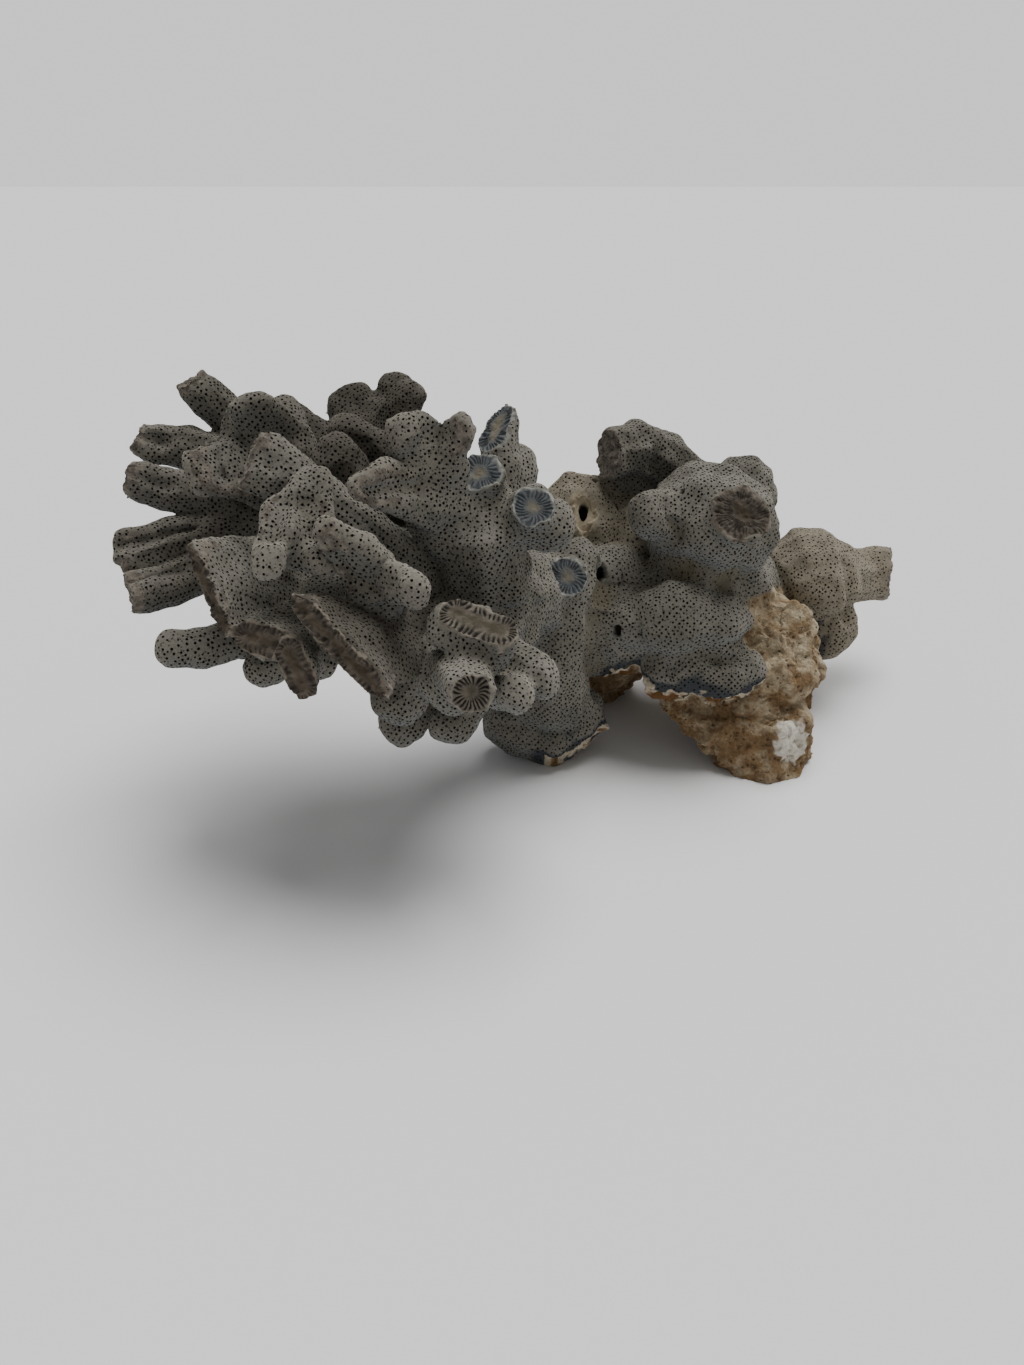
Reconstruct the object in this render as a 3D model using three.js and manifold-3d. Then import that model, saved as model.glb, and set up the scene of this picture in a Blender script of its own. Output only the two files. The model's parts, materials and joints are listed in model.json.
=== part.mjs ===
// Blue coral skeleton lying on its side: a heavy trunk with a dead, crusted base, and knobbly
// branches that fan out to the left. Millimetres, +Z up, +X towards the short end of the trunk,
// -Y towards the viewer. The origin is the middle of the underside of the bounding box.
import * as THREE from "three";
import { mergeVertices } from "three/addons/utils/BufferGeometryUtils.js";
import Module from "manifold-3d";

const wasm = await Module();
wasm.setup();

// ---- driving dimensions -------------------------------------------------------------------
const SPLIT_GAP = 0.3; // clearance between neighbouring pieces at a fork
const SECTION_SIDES = [ // facets round a limb, by its largest radius
  { above: 7.5, sides: 8 },
  { above: 4, sides: 7 },
  { above: 0, sides: 6 },
];
const STATION_LENGTH = 12; // longest step along a limb
const LOBE_SIDES = 10; // facets round a swelling
const LOBE_BANDS = 6; // facets from pole to pole of a swelling
const TIP_ANGLES = [0.8]; // rings that round off a grown tip, in radians past the last station
const FLOOR_SLAB = { size: [400, 400, 60] }; // what the feet are cut flat with

// ---- shapes -------------------------------------------------------------------------------
// A limb is a swept ellipse. `path` holds the centres, `radii` one radius per centre, or
// [wide, thin] where the limb is a blade, and `face` is the way the blade's flat side looks.
// `broken` is the outward direction of a snapped-off end; other ends are round.
function limb(path, radii, options = {}) {
  return { kind: "limb", path, radii, face: [0, -0.87, 0.5], broken: null, ...options };
}

// A lobe is an ellipsoid, given by its centre and its three radii.
function lobe(centre, size) {
  return { kind: "lobe", centre, size };
}

function pair(radius) {
  return Array.isArray(radius) ? radius : [radius, radius];
}

function radiusAt(radii, along) {
  const place = along * (radii.length - 1);
  const before = Math.min(Math.floor(place), radii.length - 2);
  const share = THREE.MathUtils.smoothstep(place - before, 0, 1);
  const [wideA, thinA] = pair(radii[before]);
  const [wideB, thinB] = pair(radii[before + 1]);
  return [THREE.MathUtils.lerp(wideA, wideB, share), THREE.MathUtils.lerp(thinA, thinB, share)];
}

function limbGeometry({ path, radii, face, broken }, grow) {
  const centres = path.map((point) => new THREE.Vector3(...point));
  const curve = new THREE.CatmullRomCurve3(centres, false, "centripetal");
  const steps = Math.max(2, Math.ceil(curve.getLength() / STATION_LENGTH));
  const flatSide = new THREE.Vector3(...face).normalize();
  const thickest = Math.max(...radii.flat());
  const { sides } = SECTION_SIDES.find(({ above }) => thickest > above);
  const corner = (2 * Math.PI) / sides;
  const fullness = Math.sqrt(corner / Math.sin(corner)); // gives the facets the ellipse's own area
  const positions = [];

  function addRing(centre, along, scale, cutNormal) {
    const tangent = curve.getTangent(along);
    const thinAxis = flatSide.clone().addScaledVector(tangent, -flatSide.dot(tangent)).normalize();
    const wideAxis = new THREE.Vector3().crossVectors(tangent, thinAxis);
    const [wide, thin] = radiusAt(radii, along);
    for (let side = 0; side < sides; side += 1) {
      const angle = side * corner;
      const offset = wideAxis
        .clone()
        .multiplyScalar(Math.cos(angle) * (wide * fullness + grow) * scale)
        .addScaledVector(thinAxis, Math.sin(angle) * (thin * fullness + grow) * scale);
      if (cutNormal) {
        offset.addScaledVector(tangent, -offset.dot(cutNormal) / tangent.dot(cutNormal));
      }
      positions.push(...centre.clone().add(offset));
    }
  }

  function addEnd(along, outward, cutNormal) {
    const end = curve.getPoint(along);
    const tangent = curve.getTangent(along).multiplyScalar(outward);
    const reach = Math.min(...radiusAt(radii, along)) + grow;
    if (cutNormal) {
      end.addScaledVector(tangent, grow);
      addRing(end, along, 1, cutNormal);
      return end;
    }
    const angles = outward > 0 ? TIP_ANGLES : [...TIP_ANGLES].reverse();
    for (const angle of outward > 0 ? [0, ...angles] : [...angles, 0]) {
      addRing(end.clone().addScaledVector(tangent, reach * Math.sin(angle)), along, Math.cos(angle));
    }
    return end.addScaledVector(tangent, reach);
  }

  const startPole = addEnd(0, -1, null);
  for (let step = 1; step < steps; step += 1) {
    addRing(curve.getPoint(step / steps), step / steps, 1);
  }
  const endPole = addEnd(1, 1, broken && new THREE.Vector3(...broken).normalize());

  const rings = positions.length / 3 / sides;
  const start = positions.length / 3;
  positions.push(...startPole, ...endPole);
  const index = [];
  for (let side = 0; side < sides; side += 1) {
    const next = (side + 1) % sides;
    for (let ring = 0; ring + 1 < rings; ring += 1) {
      const low = ring * sides;
      const high = low + sides;
      index.push(low + side, low + next, high + side, low + next, high + next, high + side);
    }
    const last = (rings - 1) * sides;
    index.push(start, next, side, start + 1, last + side, last + next);
  }
  const geometry = new THREE.BufferGeometry();
  geometry.setAttribute("position", new THREE.Float32BufferAttribute(positions, 3));
  geometry.setIndex(index);
  return geometry;
}

function lobeGeometry({ centre, size }, grow) {
  const geometry = new THREE.SphereGeometry(1, LOBE_SIDES, LOBE_BANDS);
  geometry.scale(size[0] + grow, size[1] + grow, size[2] + grow);
  geometry.translate(...centre);
  return geometry;
}

// ---- solids -------------------------------------------------------------------------------
function toSolid(geometry) {
  geometry.deleteAttribute("normal");
  geometry.deleteAttribute("uv");
  const merged = mergeVertices(geometry, 1e-4);
  const corners = Uint32Array.from(merged.index.array);
  const places = Float32Array.from(merged.attributes.position.array);
  const solid = new wasm.Manifold(
    new wasm.Mesh({ numProp: 3, vertProperties: places, triVerts: corners }),
  );
  if (solid.volume() > 0) {
    return solid;
  }
  for (let corner = 0; corner < corners.length; corner += 3) {
    [corners[corner], corners[corner + 1]] = [corners[corner + 1], corners[corner]];
  }
  return new wasm.Manifold(new wasm.Mesh({ numProp: 3, vertProperties: places, triVerts: corners }));
}

function join(shapes, grow) {
  return shapes
    .map((shape) => toSolid(shape.kind === "limb" ? limbGeometry(shape, grow) : lobeGeometry(shape, grow)))
    .reduce((whole, next) => whole.add(next));
}

function largestBody(solid) {
  return solid.decompose().sort((a, b) => b.volume() - a.volume())[0];
}

function toGeometry(solid) {
  const mesh = solid.getMesh();
  const geometry = new THREE.BufferGeometry();
  geometry.setAttribute("position", new THREE.Float32BufferAttribute(mesh.vertProperties, 3));
  geometry.setIndex([...mesh.triVerts]);
  geometry.computeVertexNormals();
  return geometry;
}

// ---- the pieces, from the trunk outwards --------------------------------------------------
const SKELETON = { colour: "#7d7c78", roughness: 0.95 };
const CRUST = { colour: "#b9a283", roughness: 0.97 };

const pieces = [
  {
    name: "trunk",
    look: SKELETON,
    shapes: [
      lobe([22, 16, 33], [17, 19, 17]),
      lobe([46, 24, 33], [22, 20, 17]),
      lobe([40, 8, 37], [17, 12, 13]), // broad swelling on the viewer's side
      lobe([45, 1, 25], [15, 8, 9]), // apron above the arch
      limb([[22, 32, 34], [14, 46, 36], [8, 53, 42]], [9, 7, 5.5]), // knobs on the far side
    ],
  },
  {
    name: "base_leg",
    look: CRUST,
    shapes: [
      limb([[64, 14, 27], [64, 6, 15], [61, -2, -4]], [[11, 9], [10, 9], [10, 9]]),
      limb([[42, 4, 15], [52, 1, 10], [60, 0, 2]], [[6, 5], [8, 6], [9, 7]]),
    ],
  },
  {
    name: "base_heel",
    look: CRUST,
    shapes: [
      limb([[30, 28, 24], [22, 36, 10], [18, 38, -6]], [14, 12, 12]),
    ],
  },
  {
    name: "middle_column",
    look: SKELETON,
    shapes: [
      limb([[14, 8, 46], [10, 2, 32], [9, 2, 16]], [8, 9, 10]),
      limb([[1, 3, 10], [9, 3, 8], [15, 5, 10]], [8, 10, 8]),
      limb([[12, 6, 45], [12, -1, 49], [12, -3, 50]], [4.5, 4, 4], { broken: [0, -0.8, 0.6] }),
    ],
  },
  {
    name: "left_hump",
    look: SKELETON,
    shapes: [
      lobe([17, 30, 48], [11, 12, 15]),
      lobe([20, 22, 41], [9, 10, 9]),
      lobe([30, 29, 46], [9, 10, 11]), // saddle towards the upper lobe
    ],
  },
  {
    name: "upper_lobe",
    look: SKELETON,
    shapes: [
      lobe([46, 15, 55], [16, 14, 15]),
      limb([[38, 14, 58], [33, 9, 60], [31, 7, 61]], [6, 5, 4.5]),
      limb([[48, 12, 58], [49, 5, 62], [50, 2, 63]], [8, 6, 5.5], { broken: [0, -0.8, 0.6] }),
    ],
  },
  {
    name: "top_finger",
    look: SKELETON,
    shapes: [
      limb([[44, 35, 57], [37, 33, 65], [29, 30, 69], [23, 26, 69]], [7, 6, 6, 5], {
        broken: [-0.9, -0.4, 0.1],
      }),
      limb([[32, 31, 67], [30, 32, 73]], [4, 1.5]),
      limb([[36, 36, 54], [30, 35, 59], [26, 33, 62]], [5.5, 5, 4.5]),
    ],
  },
  {
    name: "rear_lobe",
    look: SKELETON,
    shapes: [
      lobe([60, 47, 52], [9, 9, 10]),
      lobe([52, 44, 44], [11, 11, 12]),
      limb([[44, 46, 46], [38, 56, 52]], [8, 6]),
    ],
  },
  {
    name: "right_end_branch",
    look: SKELETON,
    shapes: [
      lobe([77, 34, 33], [13, 14, 13]),
      lobe([82, 30, 22], [8, 9, 9]),
      limb([[84, 38, 31], [94, 46, 29], [104, 50, 28]], [8, 6.5, 6.5], { broken: [0.9, -0.3, 0.1] }),
    ],
  },
  {
    name: "centre_stem",
    look: SKELETON,
    shapes: [
      limb([[4, 2, 44], [-5, -14, 52], [-6, -19, 63], [-6, -16, 71]], [10, 9.5, 9, 6]),
      limb([[-4, -16, 68], [2, -20, 69], [7, -20, 69]], [5.5, 5, 4.5]),
      limb([[2, -18, 70], [4, -25, 74], [4, -27, 75]], [4, 3.5, 3.5], { broken: [0, -0.75, 0.65] }),
      limb([[-4, -12, 70], [-2, -6, 77], [-3, -3, 83]], [4.5, 4, 3.6], { broken: [-0.6, -0.3, 0.75] }),
      limb([[-5, -14, 70], [-6, -18, 77], [-6, -19, 79]], [5, 3.8, 3.8], { broken: [-0.1, -0.6, 0.8] }),
      limb([[-1, -8, 68], [1, -2, 75]], [4.5, 3.7]),
      limb([[-3, -8, 50], [0, -18, 50]], [4.5, 3.6]),
    ],
  },
  {
    name: "shark_fin_blade",
    look: SKELETON,
    shapes: [
      limb([[-9, -18, 64], [-14, -21, 74], [-15, -22, 84], [-14, -21, 89]], [
        [8, 6], [7, 4], [6, 2.5], [6.5, 1.4]]),
      limb([[-12, -20, 72], [-20, -27, 78], [-28, -33, 81]], [[6, 4], [5, 2.5], [1.5, 1]], {
        face: [-0.3, -0.8, 0.5],
      }),
      limb([[-18, -23, 82], [-20, -22, 89]], [[3, 2], [2.5, 1.4]]),
    ],
  },
  {
    name: "lower_centre_branch",
    look: SKELETON,
    shapes: [
      limb([[-4, -12, 46], [-9, -30, 47], [-9, -42, 53], [-6, -45, 60]], [
        [10, 9], [8, 7], [7.5, 5], [7, 3]], { broken: [0, -0.5, 0.85] }),
      limb([[-13, -16, 48], [-15, -30, 46], [-12, -40, 44]], [8, 6.5, 5]),
      limb([[-10, -38, 48], [-8, -50, 51], [-7, -56, 52]], [6, 4, 3.3], { broken: [0.1, -0.97, 0.2] }),
      limb([[-8, -26, 47], [0, -36, 47], [5, -42, 47]], [5.5, 4.2, 3.6]),
      limb([[-8, -36, 45], [-2, -43, 45], [1, -47, 47]], [4, 3.4, 3]),
    ],
  },
  {
    name: "lower_lobes",
    look: SKELETON,
    shapes: [
      limb([[-14, -20, 46], [-19, -29, 44], [-22, -36, 39]], [7, 6, 5]),
      limb([[-14, -22, 42], [-20, -28, 34], [-23, -31, 30]], [7, 5, 4.6]),
      limb([[-8, -22, 42], [-11, -30, 34], [-12, -32, 31]], [7, 5, 4.4]),
    ],
  },
  {
    name: "left_main_branch",
    look: SKELETON,
    shapes: [limb([[0, 8, 40], [-22, 2, 50], [-42, -2, 57], [-54, -4, 61]], [11, 9.5, 8, 6.5])],
  },
  {
    name: "upper_diagonal_branch",
    look: SKELETON,
    shapes: [
      limb([[-14, -12, 52], [-22, -21, 60], [-30, -23, 70], [-38, -24, 77], [-47, -25, 83]], [
        7, 5, 4.4, [4.6, 3.2], [5.4, 2.2]]),
      limb([[-36, -27, 80], [-40, -35, 76], [-43, -42, 71]], [[2.4, 2], [4.5, 2], [2, 1.5]]),
      limb([[-36, -28, 80], [-37, -34, 75], [-36, -37, 70]], [[2.4, 2], [4.5, 2.2], [6, 2.2]]),
    ],
  },
  {
    name: "bird_blade",
    look: SKELETON,
    shapes: [
      limb([[-20, -22, 50], [-24, -32, 53], [-25, -37, 60], [-25, -39, 66]], [
        [6, 4], [5, 3], [5, 2.4], [4.5, 1.8]]),
      limb([[-25, -38, 66], [-29, -39, 71], [-33, -40, 75]], [[4, 2], [3.2, 1.8], [1.6, 1.2]]),
      limb([[-25, -38, 65], [-21, -41, 65], [-17, -43, 64]], [[4, 2], [3.4, 1.8], [1.5, 1.2]]),
    ],
  },
  {
    name: "diagonal_blade",
    look: SKELETON,
    shapes: [
      limb([[-18, -20, 49], [-25, -36, 53], [-30, -52, 59]], [[7, 5], [9, 3.5], [11.5, 2]], {
        face: [0.65, 0.04, 0.73],
        broken: [-0.3, -0.85, 0.3],
      }),
    ],
  },
  {
    name: "lower_left_branch",
    look: SKELETON,
    shapes: [
      limb([[-34, -6, 54], [-38, -22, 52], [-42, -34, 53], [-46, -42, 57]], [7, 5.5, 4, 3]),
      limb([[-40, -30, 53], [-44, -48, 58]], [[4, 3], [5.5, 2.6]], {
        face: [0.23, 0.19, 0.94],
        broken: [-0.2, -0.85, 0.5],
      }),
      limb([[-38, -34, 53], [-38, -51, 54]], [[4, 3], [5, 2.6]], {
        face: [0.83, 0.02, 0.4],
        broken: [-0.1, -0.9, 0.4],
      }),
      limb([[-42, -30, 51], [-47, -39, 48]], [4, 3.5]),
      limb([[-38, -30, 51], [-36, -40, 49]], [4, 2.8]),
      limb([[-44, -22, 50], [-56, -32, 49], [-64, -38, 51]], [4.5, 4, 2.4]),
      limb([[-44, -12, 56], [-50, -28, 61], [-54, -42, 65]], [[6, 4], [8, 3.2], [8.5, 1.7]], {
        face: [0.83, -0.07, 0.5],
        broken: [-0.6, -0.75, 0.2],
      }),
    ],
  },
  {
    name: "left_fan_branch",
    look: SKELETON,
    shapes: [
      limb([[-50, -6, 58], [-62, -14, 57], [-73, -26, 57]], [5, 4, 3.4]),
      limb([[-50, -4, 61], [-64, -8, 62], [-77, -18, 62]], [[5, 5], [4.4, 5], [4, 2.8]]),
      limb([[-50, -3, 63], [-62, -4, 68], [-76, -8, 73]], [5, 4, 3.4]),
    ],
  },
  {
    name: "hand_blade",
    look: SKELETON,
    shapes: [
      limb([[-42, -2, 58], [-48, -1, 70], [-51, -3, 80], [-53, -6, 88]], [
        [8, 6], [9, 4], [9, 3], [5, 2]]),
      limb([[-50, -4, 74], [-57, -11, 78], [-62, -15, 78]], [[8, 3], [6, 2], [4, 1.4]]),
      limb([[-50, 4, 68], [-66, 6, 75], [-77, 5, 78]], [5, [5, 4], [3.5, 3]]),
      limb([[-50, 8, 70], [-59, 13, 78], [-67, 11, 87]], [4.6, 4.2, 3.2]),
      limb([[-44, 6, 68], [-48, 12, 76], [-50, 15, 81]], [4, 3.8, 3.4]),
    ],
  },
  {
    name: "rear_branch",
    look: SKELETON,
    shapes: [
      limb([[-24, 6, 50], [-28, 15, 64], [-35, 23, 75], [-37, 27, 80]], [8, 7, [7, 5], [6, 4]]),
      limb([[-32, 22, 75], [-28, 28, 80], [-27, 30, 83]], [5, 4, 3.6]),
      limb([[-30, 18, 72], [-25, 20, 80], [-23, 21, 83]], [4.4, 3.8, 3.4]),
      limb([[-36, 16, 69], [-44, 19, 74], [-49, 21, 78]], [5, 4.4, 3.6]),
      limb([[-32, 2, 60], [-34, -6, 72], [-35, -9, 77]], [7, 6.4, 5.6]),
      limb([[-38, 0, 66], [-43, -2, 75], [-44, -3, 78]], [4, 3.4, 2.8]),
      limb([[-22, 6, 66], [-25, -1, 77], [-30, 0, 80], [-35, 2, 81]], [5, 3.4, 2.6, 2.8]),
    ],
  },
];

// ---- assembly -----------------------------------------------------------------------------
const floorBox = new THREE.BoxGeometry(...FLOOR_SLAB.size);
floorBox.translate(0, 0, -FLOOR_SLAB.size[2] / 2);
const floor = toSolid(floorBox);

const coral = new THREE.Group();
let taken = floor;
for (const { name, look, shapes } of pieces) {
  const body = largestBody(join(shapes, 0).subtract(taken));
  taken = taken.add(join(shapes, SPLIT_GAP));
  const material = new THREE.MeshStandardMaterial({
    color: look.colour,
    roughness: look.roughness,
    metalness: 0,
  });
  const mesh = new THREE.Mesh(toGeometry(body), material);
  mesh.name = name;
  coral.add(mesh);
}

const bounds = new THREE.Box3().setFromObject(coral);
const middle = bounds.getCenter(new THREE.Vector3());
coral.position.set(-middle.x, -middle.y, -bounds.min.z);

export default coral;
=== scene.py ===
# %% [markdown]
# # A blue coral skeleton
# The piece is a dead branch of blue coral. It lies on its side: a heavy trunk with a crusted base
# stands on three feet, and knobbly fingers and thin blades fan out to one side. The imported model
# gives the place and outline of every branch. This script grows the real surface over it: one
# smooth skin with pores, broken ends with radial tubes, and rough dead crust underneath.

# %% Load the frame
import json
import math
from contextlib import contextmanager
import bpy
import numpy as np
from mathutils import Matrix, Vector, kdtree
from mathutils.bvhtree import BVHTree
from mathutils.noise import fractal

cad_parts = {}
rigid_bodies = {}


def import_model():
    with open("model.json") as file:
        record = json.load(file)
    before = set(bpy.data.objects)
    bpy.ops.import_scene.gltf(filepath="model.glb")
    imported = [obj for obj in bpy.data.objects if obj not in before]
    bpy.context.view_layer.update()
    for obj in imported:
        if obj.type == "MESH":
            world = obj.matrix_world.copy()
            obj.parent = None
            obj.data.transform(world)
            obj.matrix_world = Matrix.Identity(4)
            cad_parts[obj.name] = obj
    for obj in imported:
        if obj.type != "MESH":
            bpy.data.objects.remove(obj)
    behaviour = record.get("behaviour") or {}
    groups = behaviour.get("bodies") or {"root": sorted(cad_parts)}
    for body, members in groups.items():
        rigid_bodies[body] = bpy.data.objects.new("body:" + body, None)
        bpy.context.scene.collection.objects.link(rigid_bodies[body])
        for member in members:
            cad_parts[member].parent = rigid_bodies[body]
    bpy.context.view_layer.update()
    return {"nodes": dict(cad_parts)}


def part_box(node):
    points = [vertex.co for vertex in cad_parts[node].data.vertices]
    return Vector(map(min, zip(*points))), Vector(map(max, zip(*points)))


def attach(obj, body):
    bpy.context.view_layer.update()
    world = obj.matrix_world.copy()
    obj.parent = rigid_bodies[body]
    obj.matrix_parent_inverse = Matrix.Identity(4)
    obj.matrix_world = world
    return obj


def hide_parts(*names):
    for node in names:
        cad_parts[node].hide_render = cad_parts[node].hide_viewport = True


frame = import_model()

MM = 0.001

# %% [markdown]
# ## One skin over all the branches
# The real coral is one growth, so its surface runs on without a seam where branches meet, and each
# fork has a soft web. The frame's solids meet at hard creases. So copies of them are swollen by a
# hair to close the gaps, joined, and remeshed into one closed skin, which is then smoothed.
# Sculpting by hand would give the same shapes, but a remesh keeps every branch where it is.

# %% Copy the nodes and join them
SAME_PLACE = 0.002 * MM  # corners of a node's facets closer than this are one point
SEAM_CLOSER = 0.35 * MM  # how far each copy swells, a little over half the gap between nodes
SKIN_VOXEL = 0.7 * MM  # fine enough for the thinnest blade, which is 2.5 mm thick


def choose(*objects):
    bpy.ops.object.select_all(action="DESELECT")
    for item in objects:
        item.select_set(True)
    bpy.context.view_layer.objects.active = objects[0]


@contextmanager
def edit_mode(item, everything=False):
    """Edit one object's mesh, with all of it selected if asked."""
    choose(item)
    bpy.ops.object.mode_set(mode="EDIT")
    if everything:
        bpy.ops.mesh.select_all(action="SELECT")
    yield
    bpy.ops.object.mode_set(mode="OBJECT")


def copy_node(name):
    twin = frame["nodes"][name].copy()
    twin.data = twin.data.copy()
    twin.parent = None
    twin.name = "copy_" + name
    for key in list(twin.keys()):
        del twin[key]
    bpy.context.scene.collection.objects.link(twin)
    with edit_mode(twin, everything=True):
        bpy.ops.mesh.remove_doubles(threshold=SAME_PLACE)
    swell = twin.modifiers.new("swell", "DISPLACE")
    swell.strength = SEAM_CLOSER
    swell.mid_level = 0
    bpy.ops.object.modifier_apply(modifier=swell.name)
    return twin


node_names = sorted(frame["nodes"])
copies = [copy_node(name) for name in node_names]
choose(*copies)
bpy.ops.object.join()
skin = bpy.context.object
skin.name = "skin"
skin.data.materials.clear()
remesh = skin.modifiers.new("one skin", "REMESH")
remesh.mode = "VOXEL"
remesh.voxel_size = SKIN_VOXEL
bpy.ops.object.modifier_apply(modifier=remesh.name)

# Where three branches meet, a closed bubble can be left inside. Only the outside is kept.
before = set(bpy.data.objects)
with edit_mode(skin, everything=True):
    bpy.ops.mesh.separate(type="LOOSE")
parts = [skin, *(set(bpy.data.objects) - before)]
skin = max(parts, key=lambda part: len(part.data.vertices))
for part in parts:
    if part is not skin:
        bpy.data.meshes.remove(part.data)
mesh = skin.data
print("skin:", len(mesh.vertices), "points,", len(parts) - 1, "bubbles removed")

# %% Helpers that read and write a mesh as arrays


def read(items, name, width=1, kind=np.float32):
    """One property of many items: an array, with rows where the width is over 1."""
    values = np.empty(len(items) * width, kind)
    items.foreach_get(name, values)
    return values.reshape(-1, width) if width > 1 else values


def points_of(mesh):
    return read(mesh.vertices, "co", 3).astype(float)


def set_points(mesh, places):
    mesh.vertices.foreach_set("co", places.astype(np.float32).ravel())
    mesh.update()


def normals_of(mesh):
    return read(mesh.vertex_normals, "vector", 3).astype(float)


def edges_of(mesh):
    return read(mesh.edges, "vertices", 2, np.int32)


def corners_of(mesh):
    return read(mesh.loops, "vertex_index", kind=np.int32)


def neighbour_counts(mesh):
    return np.bincount(edges_of(mesh).ravel(), minlength=len(mesh.vertices)).astype(float)


def neighbour_mean(values, ends, count):
    total = np.zeros((len(count), values.shape[1]))
    for column in range(values.shape[1]):
        total[:, column] = np.bincount(ends[:, 0], values[ends[:, 1], column], len(count))
        total[:, column] += np.bincount(ends[:, 1], values[ends[:, 0], column], len(count))
    return total / count[:, None]


def smoothed(values, mesh, passes):
    ends = edges_of(mesh)
    count = neighbour_counts(mesh)
    result = values.reshape(len(values), -1)
    for turn in range(passes):
        result = 0.5 * result + 0.5 * neighbour_mean(result, ends, count)
    return result.reshape(values.shape)


def ramp(values, low, high):
    share = np.clip((values - low) / (high - low), 0, 1)
    return share * share * (3 - 2 * share)


def select_points(mesh, chosen):
    """Select these points, and the edges and faces that lie wholly among them."""
    starts = read(mesh.polygons, "loop_start", kind=np.int32)
    mesh.vertices.foreach_set("select", chosen)
    mesh.edges.foreach_set("select", chosen[edges_of(mesh)].all(1))
    whole = np.logical_and.reduceat(chosen[corners_of(mesh)], starts)
    mesh.polygons.foreach_set("select", whole)


print("neighbours of a point:", neighbour_counts(mesh).mean().round(2), "on average")

# %% Smooth the facets away and grow webs in the forks
PASSES = 80  # each pass smooths and then swells back, so that fingers keep their girth
WEB_PASSES = 10  # passes that only fill hollows
SMOOTH_STEP = 0.6
SWELL_STEP = -0.63
SLIDE_STEP = 0.25  # how fast a web's points even out along the skin
SHARPEN = 0.5  # how strongly ridges and hollows are brought back at the end
SHARPEN_PASSES = 40

places = points_of(mesh)
ends = edges_of(mesh)
count = neighbour_counts(mesh)
for turn in range(PASSES):
    for step in (SMOOTH_STEP, SWELL_STEP):
        places += step * (neighbour_mean(places, ends, count) - places)
set_points(mesh, places)
for turn in range(WEB_PASSES):
    pull = neighbour_mean(places, ends, count) - places
    if turn % 5 == 0:
        set_points(mesh, places)
        arrows = normals_of(mesh)
    lift = np.einsum("ij,ij->i", pull, arrows)
    places += SMOOTH_STEP * (np.maximum(lift, 0)[:, None] * arrows)
    places += SLIDE_STEP * (pull - lift[:, None] * arrows)
places += SHARPEN * (places - smoothed(places, mesh, SHARPEN_PASSES))
set_points(mesh, places)
print("skin smoothed over", PASSES, "passes")

# %% [markdown]
# ## Creases and grooves
# The trunk is made of swollen lobes that have grown against each other, with soft creases between
# them, and the blades on the left are cupped like gutters. The frame's solids only hint at these.
# A sculptor would draw them with a crease brush. Here each crease is a line between spots on a
# branch, and the skin sinks along it.

# %% Helpers that find a spot on the skin
NEAR_SKIN = 12 * MM


def skin_tree():
    return BVHTree.FromObject(skin, bpy.context.evaluated_depsgraph_get())


def noise_at(places, size, octaves=3, shift=0.0):
    """Fractal noise of about -1 to 1 in lumps of this size."""
    return np.array([fractal(Vector(place), 1.0, 2.0, octaves) for place in places / size + shift])


def spot_on(tree, name, across, back, up):
    """The skin's point and normal nearest to a place given in shares of a node's box."""
    low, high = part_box(name)
    place = Vector((low.x + across * (high.x - low.x), low.y + back * (high.y - low.y),
                    low.z + up * (high.z - low.z)))
    found = tree.find_nearest(place, NEAR_SKIN)
    return np.array(found[0]), np.array(found[1])


def distance_to_line(places, line):
    nearest = np.full(len(places), np.inf)
    for start, end in zip(line[:-1], line[1:]):
        way = end - start
        share = np.clip((places - start) @ way / (way @ way), 0, 1)
        gap = np.linalg.norm(places - start - share[:, None] * way, axis=1)
        nearest = np.minimum(nearest, gap)
    return nearest


print("noise at three points:", noise_at(places[:3], 9 * MM).round(2))

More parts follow.
